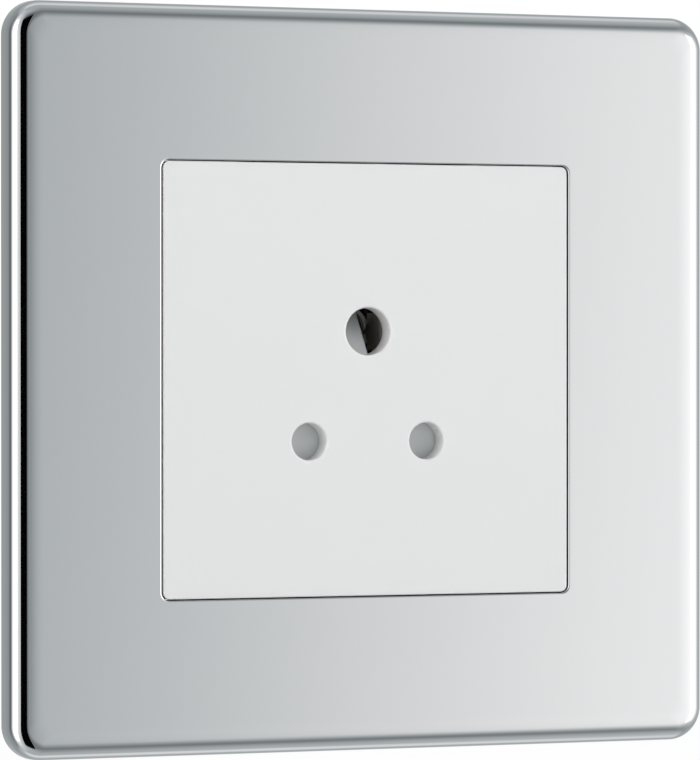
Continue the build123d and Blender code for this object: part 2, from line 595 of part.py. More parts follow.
def carrier_frame():
    """Moulded frame that fills the plate behind its face, with a stepped rim and four hooks."""
    front_y = FACE_Y + PLATE_SHEET
    face_size = PLATE_SIZE - 2 * PLATE_SHOULDER_R - 2 * CARRIER_EDGE_GAP
    rim_size = PLATE_SIZE - 2 * PLATE_SHEET - 2 * CARRIER_EDGE_GAP
    window = COVER_SIZE + 2 * CARRIER_COVER_GAP
    panel = square(face_size, PLATE_CORNER_R - PLATE_SHEET) - square(window, WINDOW_CORNER_R)
    for side in (-1, 1):
        panel -= disc(side * FIXING_CENTRES / 2, 0, SCREW_ROOM_R)
    rim = square(rim_size, PLATE_CORNER_R - PLATE_SHEET)
    rim -= square(rim_size - 2 * CARRIER_RIM_WALL, PLATE_CORNER_R - PLATE_SHEET)
    frame = slab(panel, front_y, CARRIER_BACK_Y) + slab(rim, CARRIER_BACK_Y, CARRIER_RIM_BACK_Y)
    hook_points = [
        (CARRIER_BACK_Y, HOOK_Z - HOOK_THICK),
        (CARRIER_BACK_Y, HOOK_Z),
        (HOOK_GAP, HOOK_Z),
        (HOOK_GAP, HOOK_Z + HOOK_BARB),
        (HOOK_GAP + HOOK_BARB, HOOK_Z + HOOK_BARB),
        (HOOK_REACH, HOOK_Z),
        (HOOK_REACH, HOOK_Z - HOOK_THICK),
    ]
    for side in (-1, 1):
        left = side * HOOK_X - HOOK_WIDTH / 2
        hook = side_profile(hook_points, left, left + HOOK_WIDTH)
        frame += [hook, mirror(hook, Plane.XY)]
    return frame


def earth_strap():
    """A folded strip: a foot on the yoke, a leg past the skirt, a leg inwards and a tab."""
    foot_y = STRAP_THICK / 2
    route = [
        (0, foot_y, STRAP_LEG_Z + STRAP_FOOT),
        (0, foot_y, STRAP_LEG_Z),
        (0, STRAP_TURN_Y, STRAP_LEG_Z),
        (0, STRAP_TURN_Y, STRAP_TAB_Z),
        (0, STRAP_TURN_Y + STRAP_TAB, STRAP_TAB_Z),
    ]
    line = FilletPolyline(*route, radius=STRAP_BEND_R)
    section = Plane(origin=line @ 0, z_dir=line % 0, x_dir=(1, 0, 0)) * Rectangle(STRAP_WIDTH, STRAP_THICK)
    strap = sweep(section, path=line)
    return strap - slab(disc(0, STRAP_RIVET_Z, STRAP_RIVET_R + SCREW_CLEARANCE), 0, STRAP_THICK)


def pieces():
    """Every separate piece of the socket under the name of its node."""
    made = {
        "front_plate": front_plate(),
        "carrier_frame": carrier_frame(),
        "mounting_yoke": mounting_yoke(),
        "insert_cover": insert_cover(),
        "shutter": shutter(),
        "shutter_spring": shutter_spring(),
        "inner_deck": inner_deck(),
        "base_moulding": base_moulding(),
        "earth_contact": earth_contact(),
        "line_contact": line_contact(1),
        "neutral_contact": line_contact(-1),
        "earth_strap": earth_strap(),
        "strap_rivet": rivet(0, STRAP_RIVET_Z, STRAP_RIVET_R, RIVET_HEAD_R, STRAP_THICK),
    }
    for name, (x, z) in terminal_places().items():
        made[name + "_terminal"] = terminal(x, z, wire_along_x=name == "earth")
        made[name + "_terminal_screw"] = terminal_screw(x, z)
    for name, (x, z) in COVER_SCREW_PLACES.items():
        made["cover_screw_" + name] = cover_screw(x, z)
    for level_name, level in (("top", 1), ("bottom", -1)):
        for side_name, side in (("left", -1), ("right", 1)):
            place = (side * EAR_PLACE_X, level * RIVET_PLACE_Z)
            made[f"yoke_rivet_{level_name}_{side_name}"] = rivet(*place, RIVET_R, RIVET_HEAD_R, EAR_THICK)
    return made


def main():
    """Writes one file for each piece."""
    os.makedirs("parts", exist_ok=True)
    for name, solid in pieces().items():
        export_step(solid, f"parts/{name}.step")
    print(f"shutter travel {SHUTTER_TRAVEL:.2f} mm")


main()
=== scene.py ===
import math

import bpy
import numpy as np
from mathutils import Matrix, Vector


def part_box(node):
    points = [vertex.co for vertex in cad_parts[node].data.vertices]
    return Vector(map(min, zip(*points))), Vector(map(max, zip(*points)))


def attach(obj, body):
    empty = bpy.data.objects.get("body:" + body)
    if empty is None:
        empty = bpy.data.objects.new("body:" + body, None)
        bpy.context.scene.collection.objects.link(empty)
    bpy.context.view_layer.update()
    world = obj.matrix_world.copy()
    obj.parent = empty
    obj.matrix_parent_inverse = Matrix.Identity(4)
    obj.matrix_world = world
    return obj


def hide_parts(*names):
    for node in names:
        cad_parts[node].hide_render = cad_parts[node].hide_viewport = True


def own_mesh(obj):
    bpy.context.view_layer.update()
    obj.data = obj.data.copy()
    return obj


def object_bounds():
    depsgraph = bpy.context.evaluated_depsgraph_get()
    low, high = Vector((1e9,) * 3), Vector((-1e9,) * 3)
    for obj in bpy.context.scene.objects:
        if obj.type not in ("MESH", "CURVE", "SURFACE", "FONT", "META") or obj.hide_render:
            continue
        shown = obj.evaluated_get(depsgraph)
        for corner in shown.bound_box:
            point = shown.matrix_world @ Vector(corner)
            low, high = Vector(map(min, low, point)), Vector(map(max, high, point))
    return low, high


bl_info = {
    "name": "Round pin wall socket",
    "version": (1, 0, 0),
    "blender": (4, 5, 0),
    "location": "3D View > Sidebar > Socket",
    "description": "Dresses a round pin wall socket with its bright plate, mouldings and metalwork",
    "category": "Object",
}

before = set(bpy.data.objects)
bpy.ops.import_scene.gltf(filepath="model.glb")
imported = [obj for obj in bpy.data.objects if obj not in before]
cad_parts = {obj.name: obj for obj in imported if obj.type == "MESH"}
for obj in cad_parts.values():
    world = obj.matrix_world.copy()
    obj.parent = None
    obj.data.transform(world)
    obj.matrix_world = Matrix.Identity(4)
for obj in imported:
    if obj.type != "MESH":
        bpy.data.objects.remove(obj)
CAD_BOX = [list(corner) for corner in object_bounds()]
MM = 0.001
HOUSING = "housing"


# Sizes and colours that a user would change

def length(name, description, default_mm, low_mm=0.0):
    """A length property, given in millimetres and kept in metres."""
    return bpy.props.FloatProperty(
        name=name, description=description, default=default_mm * MM, min=low_mm * MM,
        subtype="DISTANCE", unit="LENGTH", precision=5,
    )


def colour(name, description, default):
    """A linear colour property."""
    return bpy.props.FloatVectorProperty(
        name=name, description=description, default=default, min=0.0, max=1.0, size=3, subtype="COLOR",
    )


def share(name, description, default, high=1.0):
    """A plain number from zero up."""
    return bpy.props.FloatProperty(
        name=name, description=description, default=default, min=0.0, max=high, subtype="FACTOR",
    )


def angle(name, description, default_deg):
    """An angle property, given in degrees and kept in radians."""
    return bpy.props.FloatProperty(
        name=name, description=description, default=math.radians(default_deg),
        subtype="ANGLE", unit="ROTATION",
    )


class PlateSettings(bpy.types.PropertyGroup):
    size: length("Size", "Width and height of the plate at the wall", 86.0)
    depth: length("Depth", "How far the plate stands off the wall", 4.0)
    sheet: length("Sheet", "Thickness of the sheet", 1.0)
    corner: length("Corner radius", "Radius of the plate's outline", 4.0)
    shoulder: length("Shoulder radius", "Radius between the face and the side", 2.2)
    rim: length("Rim rounding", "Radius of the edge on the wall", 0.25)
    crown: length("Crown width", "Width of the band where the face starts to roll over", 1.9)
    window: length("Window", "Width of the opening for the insert", 50.3)
    window_height: length("Window height", "Height of the opening for the insert", 50.16)
    window_corner: length("Window corner radius", "Radius of the opening's corners", 1.0)
    window_edge: length("Window edge rounding", "Radius of the edge of the opening", 0.17)
    bend_guard: length("Bend guard", "From a bend to the ring that keeps the face beside it flat", 0.02)
    draft: angle("Draft", "Slope of the side", 2.0)
    crown_tilt: angle("Crown tilt", "Slope that the crown reaches at the shoulder", 4.5)
    tone: colour("Plating", "Colour of the bright plating", (0.5, 0.502, 0.506))
    roughness: share("Roughness", "Roughness of the bright plating", 0.035)


class MouldingSettings(bpy.types.PropertyGroup):
    insert: colour("Insert", "Colour of the front moulding", (0.79, 0.773, 0.765))
    # The shutter's tone, used above the ramp height, is lightened as painted light on its ramp; the blades'
    # tone below the blade height is darkened as painted shade inside the holes.
    shutter: colour("Shutter", "Colour of the shutter", (0.95, 0.96, 0.965))
    shaded_blades: colour("Blades", "Colour of the shutter's blades, below its ramp", (0.64, 0.65, 0.655))
    base: colour("Base", "Colour of the rear moulding", (0.74, 0.74, 0.725))
    black: colour("Black", "Colour of the carrier and the deck", (0.012, 0.012, 0.013))
    roughness: share("Roughness", "Roughness of the shutter and the rear moulding", 0.42)
    insert_roughness: share("Insert roughness", "Roughness of the front moulding", 0.294)
    black_roughness: share("Black roughness", "Roughness of the carrier and the deck", 0.5)
    depth_of_light: length("Depth of light", "How far light goes into the front moulding", 0.8)
    # Heights of the painted shade and light: the blades' darker tone ends at the first, and the shutter's
    # lightened tone starts at the second.
    painted_shade_top: length("Blade height", "Height up to which the shutter has the blades' colour", -3.0, -43.0)
    painted_light_bottom: length("Ramp height", "Height from which the shutter has its own colour", 1.0, -43.0)
    grain: length("Grain", "Size of the fine texture left by the mould", 0.35)


class MetalSettings(bpy.types.PropertyGroup):
    zinc: colour("Zinc", "Colour of the zinc plating", (0.56, 0.58, 0.60))
    brass: colour("Brass", "Colour of the brass", (0.62, 0.43, 0.17))
    contact: colour("Contact", "Colour of the dull plated contact strip", (0.56, 0.53, 0.48))
    steel: colour("Steel", "Colour of the spring wire", (0.42, 0.42, 0.42))
    wire: length("Spring wire", "Diameter of the spring wire", 0.45)
    coil: length("Spring diameter", "Outer diameter of the spring", 4.2)
    turns: bpy.props.FloatProperty(
        name="Spring turns", description="Number of turns of the spring", default=8.0, min=3.0,
    )


class StageSettings(bpy.types.PropertyGroup):
    azimuth: angle("Azimuth", "Direction of the camera round the socket, from straight in front", -20.73)
    elevation: angle("Elevation", "Height of the camera above the socket's level", 0.3)
    roll: angle("Roll", "Turn of the camera about its own axis", -0.01)
    distance: length("Distance", "From the camera to the socket's origin", 524.0)
    lens: bpy.props.FloatProperty(
        name="Lens", description="Focal length of the camera", default=213.24, subtype="DISTANCE_CAMERA",
    )
    shift_x: bpy.props.FloatProperty(
        name="Shift X", description="Sideways shift of the frame", default=-0.0085,
    )
    shift_y: bpy.props.FloatProperty(
        name="Shift Y", description="Upward shift of the frame", default=-0.0005,
    )
    floor: colour("Floor", "Colour of the floor", (0.95, 0.95, 0.95))
    light: share("Light", "Strength of the studio's light", 1.0, 4.0)
    flag_inner: length("Flag inner side", "From the plate's middle to the near side of the flag", 41.1)
    flag_outer: length("Flag outer side", "From the plate's middle to the far side of the flag", 44.4)
    flag_away: length("Flag distance", "From the wall to the black flag", 7.0)


# Meshes

def surface(name, points, wrap_rows, wrap_columns):
    """A mesh of quads over a (rows, columns, 3) array of points in metres.

    Face (i, j) joins points (i, j), (i+1, j), (i+1, j+1) and (i, j+1), the
    indices running round where a direction wraps. The faces are turned
    outwards by the sign of the volume that they enclose."""
    rows, columns = points.shape[:2]
    i = np.arange(rows if wrap_rows else rows - 1)
    j = np.arange(columns if wrap_columns else columns - 1)
    i, j = (a.ravel() for a in np.meshgrid(i, j, indexing="ij"))
    i_next, j_next = (i + 1) % rows, (j + 1) % columns
    quads = np.stack([
        i * columns + j, i_next * columns + j, i_next * columns + j_next, i * columns + j_next,
    ], 1)
    flat = points.reshape(-1, 3)
    corner = flat[quads]
    across = np.cross(corner[:, 2] - corner[:, 0], corner[:, 3] - corner[:, 1])
    if np.einsum("ij,ij->", corner.mean(1), across) < 0:
        quads = quads[:, ::-1]
    return mesh_object(name, flat, quads)


def mesh_object(name, points, faces):
    """A smooth-shaded object at the origin from points and faces of one size."""
    mesh = bpy.data.meshes.new(name)
    faces = np.asarray(faces)
    count, sides = faces.shape
    mesh.vertices.add(len(points))
    mesh.vertices.foreach_set("co", np.asarray(points, np.float32).ravel())
    mesh.loops.add(count * sides)
    mesh.loops.foreach_set("vertex_index", faces.astype(np.int32).ravel())
    mesh.polygons.add(count)
    mesh.polygons.foreach_set("loop_start", np.arange(count, dtype=np.int32) * sides)
    mesh.polygons.foreach_set("use_smooth", np.ones(count, bool))
    mesh.update(calc_edges=True)
    mesh.validate()
    made = bpy.data.objects.new(name, mesh)
    bpy.context.scene.collection.objects.link(made)
    return made


def dress(made, body, slot, material, *nodes):
    """Gives a piece its material and its body, and hides the nodes that it stands for. Its slot is not used.
    """
    made.data.materials.append(material)
    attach(made, body)
    if nodes:
        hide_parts(*nodes)
    return made


def finish_nodes(material, *names):
    """Puts a material on the fixed nodes whose shape is right as it is."""
    for name in names:
        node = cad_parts[name]
        node.data.materials.clear()
        node.data.materials.append(material)


def arc(centre, radius, start_deg, end_deg, steps):
    """Points on a circle about centre (u, y); angle 0 is along -Y and 90 along +U."""
    angle = np.radians(np.linspace(start_deg, end_deg, steps))
    return np.stack([centre[0] + radius * np.sin(angle), centre[1] - radius * np.cos(angle)], 1)


def square_ring(half, corner, side_steps, corner_steps):
    """Rounded square outlines in X and Z, one for each pair of half size and corner radius.

    Each side is a straight run between its two corner centres, and each corner
    a quarter circle about its centre, so every outline has the same number of
    points and they match one to one."""
    half, corner = np.atleast_1d(half)[:, None], np.atleast_1d(corner)[:, None]
    turn = np.linspace(0, np.pi / 2, corner_steps + 1)[None, :]
    run = np.linspace(-1, 1, side_steps + 1)[None, 1:-1]
    centre = half - corner
    quarter_x = centre + corner * np.cos(turn)
    quarter_z = centre + corner * np.sin(turn)
    side_x = -run * centre
    side_z = np.broadcast_to(half, side_x.shape)
    x, z = np.concatenate([quarter_x, side_x], 1), np.concatenate([quarter_z, side_z], 1)
    rings = [(x, z), (-z, x), (-x, -z), (z, -x)]
    return np.concatenate([a for a, _ in rings], 1), np.concatenate([b for _, b in rings], 1)


# Rings along each part of the plate's section, and points along each side and round each corner
SHOULDER_RINGS = 40
CROWN_RINGS = 23
FACE_GAPS = 7
RIM_RINGS = 7
INNER_RINGS = 12
EDGE_RINGS = 9
SIDE_POINTS = 24
CORNER_POINTS = 20


def plate_profile(s):
    """The section of the sheet from the window's edge out over the shoulder to the wall and back inside.

    Columns are the distance from the centre line, the depth and the corner
    radius there. The shoulder is a circle tangent to the drafted side. The
    crown is a band before it whose slope grows as the square of the way across
    it. From the shoulder outwards every ring has its corner centre at one
    place, and nearer in the corner radius goes evenly to the window's."""
    half, slope = s.size / 2, math.tan(s.draft)
    end = 90.0 - math.degrees(s.draft)
    front, back = -s.depth, 0.0
    tilt = math.degrees(s.crown_tilt)
    fall = math.tan(s.crown_tilt) * s.crown / 3
    centre_y = front + fall + s.shoulder * math.cos(s.crown_tilt)
    centre_u = half + centre_y * slope - s.shoulder / math.cos(s.draft)
    window = s.window / 2
    shoulder = arc((centre_u, centre_y), s.shoulder, tilt, end, SHOULDER_RINGS)
    way = np.linspace(0, 1, CROWN_RINGS + 1)[:-1]
    crown_u = shoulder[0, 0] - s.crown * (1 - way)
    crown_y = shoulder[0, 1] - fall + fall * way ** 3
    rim = arc((half - s.rim, back - s.rim), s.rim, 90, 180, RIM_RINGS)
    inner_r = s.shoulder - s.sheet
    inner_u = half - s.sheet + centre_y * slope - inner_r / math.cos(s.draft)
    inner = arc((inner_u, centre_y), inner_r, end, 0, INNER_RINGS)
    edge = arc((window + s.window_edge, front + s.window_edge), s.window_edge, -90, 0, EDGE_RINGS)
    edge[:, 1] = np.minimum(edge[:, 1], front + s.sheet / 2)
    face_width = crown_u[0] - edge[-1, 0]
    between = np.linspace(0, 1, FACE_GAPS + 1)[1:-1] * face_width
    face_u = edge[-1, 0] + np.r_[s.bend_guard, between, face_width - s.bend_guard]
    face_y = np.full_like(face_u, front)
    line = np.concatenate([
        edge,
        np.stack([face_u, face_y], 1),
        np.stack([crown_u, crown_y], 1),
        shoulder,
        rim,
        [[half - s.sheet, back]],
        inner,
        [[window, front + s.sheet]],
    ])
    corner = s.corner - (half - line[:, 0])
    inside = shoulder[0, 0]
    inside_corner = s.corner - (half - inside)
    blend = (line[:, 0] - window) / (inside - window)
    within = line[:, 0] < inside
    corner[within] = (s.window_corner + (inside_corner - s.window_corner) * blend)[within]
    return np.column_stack([line, corner])


def plate_sheet(s):
    """The pressed plate: its section carried round rounded squares that grow with it.

    The squares are made a little lower towards the window, in proportion to
    the distance from the corner centres of the outline."""
    line = plate_profile(s)
    x, z = square_ring(line[:, 0], line[:, 2], SIDE_POINTS, CORNER_POINTS)
    lower = 1.0 - s.window_height / s.window
    corner_centre = s.size / 2 - s.corner
    near = np.clip((corner_centre - line[:, 0]) / (corner_centre - s.window / 2), 0.0, 1.0)
    z *= 1.0 - lower * near[:, None]
    y = np.broadcast_to(line[:, 1:2], x.shape)
    return surface("plate_sheet", np.stack([x, y, z], 2), True, True)


# Rings of the coil in each turn, points round its wire, and the size of the ring before each closed end
COIL_RINGS = 48
WIRE_POINTS = 12
END_SHARE = 0.84


def coil(name, wire, outer, turns, low, high, centre_y):
    """A compression spring with closed ends, as a tube along a helix.

    The height of the centre line rises by one wire diameter over the first
    and the last turn and evenly between, and the tube's ring is square to the
    line. The last rings shrink to a point and close the ends."""
    count = int(turns * COIL_RINGS)
    t = np.linspace(0, turns, count)
    height = high - low - wire
    rise = np.interp(t, [0, 1, turns - 1, turns], [0, wire, height - wire, height])
    turn = 2 * np.pi * t
    radius = (outer - wire) / 2
    line = np.stack([radius * np.cos(turn), centre_y + radius * np.sin(turn), low + wire / 2 + rise], 1)
    along = np.gradient(line, axis=0)
    along /= np.linalg.norm(along, axis=1, keepdims=True)
    out = np.stack([np.cos(turn), np.sin(turn), np.zeros(count)], 1)
    up = np.cross(along, out)
    out = np.cross(up, along)
    ring = np.linspace(0, 2 * np.pi, WIRE_POINTS + 1)[:-1]
    size = np.full(count, wire / 2)
    size[[0, -1]] = 0.0
    size[[1, -2]] = END_SHARE * wire / 2
    offset = (
        np.cos(ring)[None, :, None] * out[:, None, :] + np.sin(ring)[None, :, None] * up[:, None, :]
    ) * size[:, None, None]
    return surface(name, line[:, None, :] + offset, False, True)


# Shader nodes

# Places of a Mix node's colour sockets among its inputs and outputs
MIX_A, MIX_B, MIX_RESULT = 6, 7, 2


def add(tree, kind, inputs=None, **settings):
    """Adds a node, sets its settings, and sets or links its inputs."""
    made = tree.nodes.new(kind)
    for name, value in settings.items():
        setattr(made, name, value)
    for key, value in (inputs or {}).items():
        if isinstance(value, bpy.types.NodeSocket):
            tree.links.new(value, made.inputs[key])
        else:
            made.inputs[key].default_value = value
    return made


def maths(tree, operation, first, second=0.0, third=0.0):
    """One step of arithmetic, as the output of its node."""
    made = add(tree, "ShaderNodeMath", {0: first, 1: second, 2: third}, operation=operation)
    return made.outputs[0]


def mean(tree, first, second):
    """The mean of two values."""
    return maths(tree, "MULTIPLY_ADD", first, 0.5, maths(tree, "MULTIPLY", second, 0.5))


def ramp(tree, value, stops):
    """A colour ramp whose stops are (place, grey) pairs, as its colour output."""
    made = add(tree, "ShaderNodeValToRGB", {"Fac": value})
    elements = made.color_ramp.elements
    while len(elements) < len(stops):
        elements.new(0.5)
    for element, (place, _) in zip(elements, stops):
        element.position = place
    for element, (_, grey) in zip(elements, stops):
        element.color = (grey, grey, grey, 1.0)
    return made.outputs["Color"]


def smooth(tree, value, low, high):
    """Zero below low, one above high, and a smooth rise between."""
    made = add(tree, "ShaderNodeMapRange", {
        "Value": value, "From Min": low, "From Max": high,
    }, interpolation_type="SMOOTHSTEP")
    return made.outputs["Result"]


def mixed_colour(tree, factor, first, second, blend="MIX"):
    """Two colours mixed by a factor, as a colour output."""
    made = add(tree, "ShaderNodeMix", {
        "Factor": factor, MIX_A: first, MIX_B: second,
    }, data_type="RGBA", blend_type=blend)
    return made.outputs[MIX_RESULT]


def shaded(tree, tone, shade):
    """A tone times a shade, as a colour output."""
    return mixed_colour(tree, 1.0, (*tone, 1.0), shade, "MULTIPLY")


def object_height(tree):
    """The height on the object, as a value."""
    place = add(tree, "ShaderNodeTexCoord").outputs["Object"]
    return add(tree, "ShaderNodeSeparateXYZ", {"Vector": place}).outputs["Z"]


def node_group(name, inputs, outputs):
    """An empty shader group with its sockets, and its input and output nodes."""
    tree = bpy.data.node_groups.new(name, "ShaderNodeTree")
    for label, kind, value in inputs:
        socket = tree.interface.new_socket(label, in_out="INPUT", socket_type=kind)
        if value is not None:
            socket.default_value = value
    for label, kind in outputs:
        tree.interface.new_socket(label, in_out="OUTPUT", socket_type=kind)
    return tree, tree.nodes.new("NodeGroupInput"), tree.nodes.new("NodeGroupOutput")


def surface_group(name, build):
    """A group that takes a place, a scale and a depth, and gives a shade, a roughness and a height."""
    if name in bpy.data.node_groups:
        return bpy.data.node_groups[name]
    tree, start, end = node_group(
        name,
        [("Place", "NodeSocketVector", None), ("Scale", "NodeSocketFloat", 1000.0),
         ("Shade depth", "NodeSocketFloat", 0.02), ("Roughness", "NodeSocketFloat", 0.4),
         ("Roughness depth", "NodeSocketFloat", 0.05)],
        [("Shade", "NodeSocketFloat"), ("Roughness", "NodeSocketFloat"), ("Height", "NodeSocketFloat")],
    )
    pattern, height = build(tree, start)
    centred = maths(tree, "SUBTRACT", pattern, 0.5)
    shade = maths(tree, "MULTIPLY_ADD", centred, start.outputs["Shade depth"], 1.0)
    rough = maths(tree, "MULTIPLY_ADD", centred, start.outputs["Roughness depth"], start.outputs["Roughness"])
    tree.links.new(shade, end.inputs["Shade"])
    tree.links.new(rough, end.inputs["Roughness"])
    tree.links.new(height, end.inputs["Height"])
    return tree


def noise(tree, place, scale, detail, stretch=None):
    """A noise value at a place, with the place stretched first if asked."""
    if stretch is not None:
        place = add(tree, "ShaderNodeVectorMath", {0: place, 1: stretch}, operation="MULTIPLY").outputs[0]
    made = add(tree, "ShaderNodeTexNoise", {"Vector": place, "Scale": scale, "Detail": detail})
    return made.outputs["Fac"]


def moulded_grain(tree, start):
    """The fine even grain of a spark-eroded mould.

    The pattern is the mean of the grain and of a drift fifty times as coarse."""
    place, scale = start.outputs["Place"], start.outputs["Scale"]
    fine = noise(tree, place, scale, detail=3.0)
    slow = noise(tree, place, maths(tree, "MULTIPLY", scale, 0.02), detail=1.0)
    return mean(tree, fine, slow), fine


def plated_waves(tree, start):
    """The slow waves of a polished pressing, under plating whose pattern is forty times as fine."""
    place, scale = start.outputs["Place"], start.outputs["Scale"]
    fine = noise(tree, place, maths(tree, "MULTIPLY", scale, 40.0), detail=2.0)
    return fine, noise(tree, place, scale, detail=1.0)


def zinc_mottle(tree, start):
    """The soft cloudy crystals of zinc plating over faint rolling lines.

    The pattern is the mean of the crystals and of a coarser cloud, and the
    height is a noise stretched along X and pressed together along Z."""
    place, scale = start.outputs["Place"], start.outputs["Scale"]
    cells = add(tree, "ShaderNodeTexVoronoi", {"Vector": place, "Scale": scale}, feature="SMOOTH_F1")
    cloud = noise(tree, place, maths(tree, "MULTIPLY", scale, 0.3), detail=3.0)
    lines = noise(tree, place, scale, detail=2.0, stretch=(0.06, 1.0, 2.5))
    return mean(tree, cells.outputs["Distance"], cloud), lines


def rolled_lines(tree, start):
    """The fine lines that rolling and drawing leave along a strip.

    The pattern is the mean of the lines and of a cloud twenty times as coarse."""
    place, scale = start.outputs["Place"], start.outputs["Scale"]
    lines = noise(tree, place, scale, detail=3.0, stretch=(0.08, 1.0, 1.0))
    cloud = noise(tree, place, maths(tree, "MULTIPLY", scale, 0.05), detail=3.0)
    return mean(tree, lines, cloud), lines


def finish(name, tone, build, scale, roughness, bump_mm, shade=0.04, rough=0.05, **shader):
    """A material: its tone times the group's shade, the group's roughness, and a bump of its height.

    The shade and rough values say how far the pattern changes the tone and
    the roughness. Further values go to the Principled shader."""
    if name in bpy.data.materials:
        return bpy.data.materials[name]
    made = bpy.data.materials.new(name)
    made.use_nodes = True
    tree = made.node_tree
    principled = tree.nodes["Principled BSDF"]
    place = add(tree, "ShaderNodeTexCoord").outputs["Object"]
    group = add(tree, "ShaderNodeGroup", {
        "Place": place, "Scale": scale, "Shade depth": shade,
        "Roughness": roughness, "Roughness depth": rough,
    }, node_tree=surface_group(build.__name__, build))
    tree.links.new(shaded(tree, tone, group.outputs["Shade"]), principled.inputs["Base Color"])
    tree.links.new(group.outputs["Roughness"], principled.inputs["Roughness"])
    bump = add(tree, "ShaderNodeBump", {
        "Strength": 1.0, "Distance": bump_mm * MM, "Height": group.outputs["Height"],
    })
    tree.links.new(bump.outputs["Normal"], principled.inputs["Normal"])
    for key, value in shader.items():
        principled.inputs[key.replace("_", " ")].default_value = value
    made.diffuse_color = (*tone, 1.0)
    return made


def paint_shade_below(material, tone, low, high):
    """Gives a material painted shade: another tone below a height, with a smooth change up to a second
    height.
    """
    tree = material.node_tree
    toned = next(node for node in tree.nodes if node.bl_idname == "ShaderNodeMix")
    above = tuple(toned.inputs[MIX_A].default_value)
    mixed = mixed_colour(tree, smooth(tree, object_height(tree), low, high), (*tone, 1.0), above)
    tree.links.new(mixed, toned.inputs[MIX_A])


# Operators

class SOCKET_OT_plate(bpy.types.Operator):
    """Make the bright pressed plate with its rolled shoulder and window"""

    bl_idname = "socket.plate"
    bl_label = "Plate"

    def execute(self, context):
        s = context.scene.socket_plate
        plating = finish(
            "bright plating", s.tone, plated_waves, scale=60.0, roughness=s.roughness, bump_mm=0.0002,
            shade=0.01, rough=0.02, Metallic=1.0,
        )
        dress(plate_sheet(s), HOUSING, "bright_plate", plating, "front_plate")
        return {"FINISHED"}


class SOCKET_OT_mouldings(bpy.types.Operator):
    """Finish the insert, the shutter, the rear moulding, the deck and the carrier"""

    bl_idname = "socket.mouldings"
    bl_label = "Mouldings"

    def execute(self, context):
        s = context.scene.socket_mouldings
        scale = 1.0 / s.grain
        white = finish(
            "white moulding", s.insert, moulded_grain, scale, s.insert_roughness, bump_mm=0.003,
            shade=0.015, Subsurface_Weight=0.3, Subsurface_Radius=(1.0, 1.0, 1.0),
            Subsurface_Scale=s.depth_of_light,
        )
        shutter = finish(
            "shutter moulding painted light and shade", s.shutter, moulded_grain, scale, s.roughness, bump_mm=0.004, shade=0.01,
        )
        # Painted shade and light: the shutter's blades get a darker tone for the shade inside the holes, and
        # its ramp keeps a lightened tone.
        paint_shade_below(shutter, s.shaded_blades, s.painted_shade_top, s.painted_light_bottom)
        base = finish("rear moulding", s.base, moulded_grain, scale, s.roughness, bump_mm=0.006)
        black = finish("black moulding", s.black, moulded_grain, scale, s.black_roughness, bump_mm=0.006)
        finish_nodes(white, "insert_cover")
        finish_nodes(shutter, "shutter")
        finish_nodes(base, "base_moulding")
        finish_nodes(black, "carrier_frame", "inner_deck")
        return {"FINISHED"}


class SOCKET_OT_metalwork(bpy.types.Operator):
    """Finish the yoke, the contacts, the terminals, the strap, the screws and the rivets"""

    bl_idname = "socket.metalwork"
    bl_label = "Metalwork"

    def execute(self, context):
        s = context.scene.socket_metal
        zinc = finish(
            "zinc plating", s.zinc, zinc_mottle, scale=900.0, roughness=0.36, bump_mm=0.004,
            shade=0.25, rough=0.12, Metallic=1.0,
        )
        strip = finish(
            "contact strip", s.contact, rolled_lines, scale=3000.0, roughness=0.5, bump_mm=0.002,
            shade=0.2, rough=0.1, Metallic=1.0,
        )
        brass = finish(
            "brass strip", s.brass, rolled_lines, scale=3000.0, roughness=0.3, bump_mm=0.002,
            shade=0.2, rough=0.1, Metallic=1.0,
        )
        block = finish(
            "brass bar", s.brass, rolled_lines, scale=2000.0, roughness=0.3, bump_mm=0.004,
            shade=0.25, rough=0.12, Metallic=1.0,
        )
        screw = finish(
            "screw plating", s.zinc, zinc_mottle, scale=2000.0, roughness=0.3, bump_mm=0.002,
            shade=0.15, rough=0.08, Metallic=1.0,
        )
        finish_nodes(zinc, "mounting_yoke")
        finish_nodes(strip, "earth_contact", "line_contact", "neutral_contact")
        finish_nodes(brass, "earth_strap")
        finish_nodes(block, "earth_terminal", "line_terminal", "neutral_terminal")
        finish_nodes(screw, *[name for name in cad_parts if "screw" in name or "rivet" in name])
        return {"FINISHED"}


class SOCKET_OT_spring(bpy.types.Operator):
    """Make the coil under the shutter"""

    bl_idname = "socket.spring"
    bl_label = "Spring"

    def execute(self, context):
        s = context.scene.socket_metal
        low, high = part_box("shutter_spring")
        wire = finish(
            "spring wire", s.steel, rolled_lines, scale=4000.0, roughness=0.3, bump_mm=0.001, Metallic=1.0,
        )
        centre_y = (low.y + high.y) / 2
        made = coil("shutter_coil", s.wire, s.coil, s.turns, low.z, high.z, centre_y)
        dress(made, HOUSING, "spring_steel", wire, "shutter_spring")
        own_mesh(made)
        return {"FINISHED"}


# The studio's light by azimuth in degrees, as brightness: level with the socket,
LEVEL_LIGHT = [
    (-180, 0.53), (-126, 0.53), (-113, 0.27), (-104, 0.23), (-98, 0.72), (-90, 1.7), (-84, 2.4), (-68, 2.4),
    (-60, 1.75), (-52, 1.33), (-45, 1.15), (-37, 1.12), (-15, 0.85), (-4, 0.65), (3.3, 0.24), (5.5, 0.4),
    (8.2, 0.56), (9.4, 0.51), (13.4, 0.71), (16.4, 0.857), (18, 0.968), (20.1, 1.16), (22.4, 1.355),
    (24.6, 1.55), (27, 1.67), (34, 1.91), (70, 1.96), (81, 1.7), (88, 1.21), (100, 0.77), (125, 0.67),
    (180, 0.53),
]
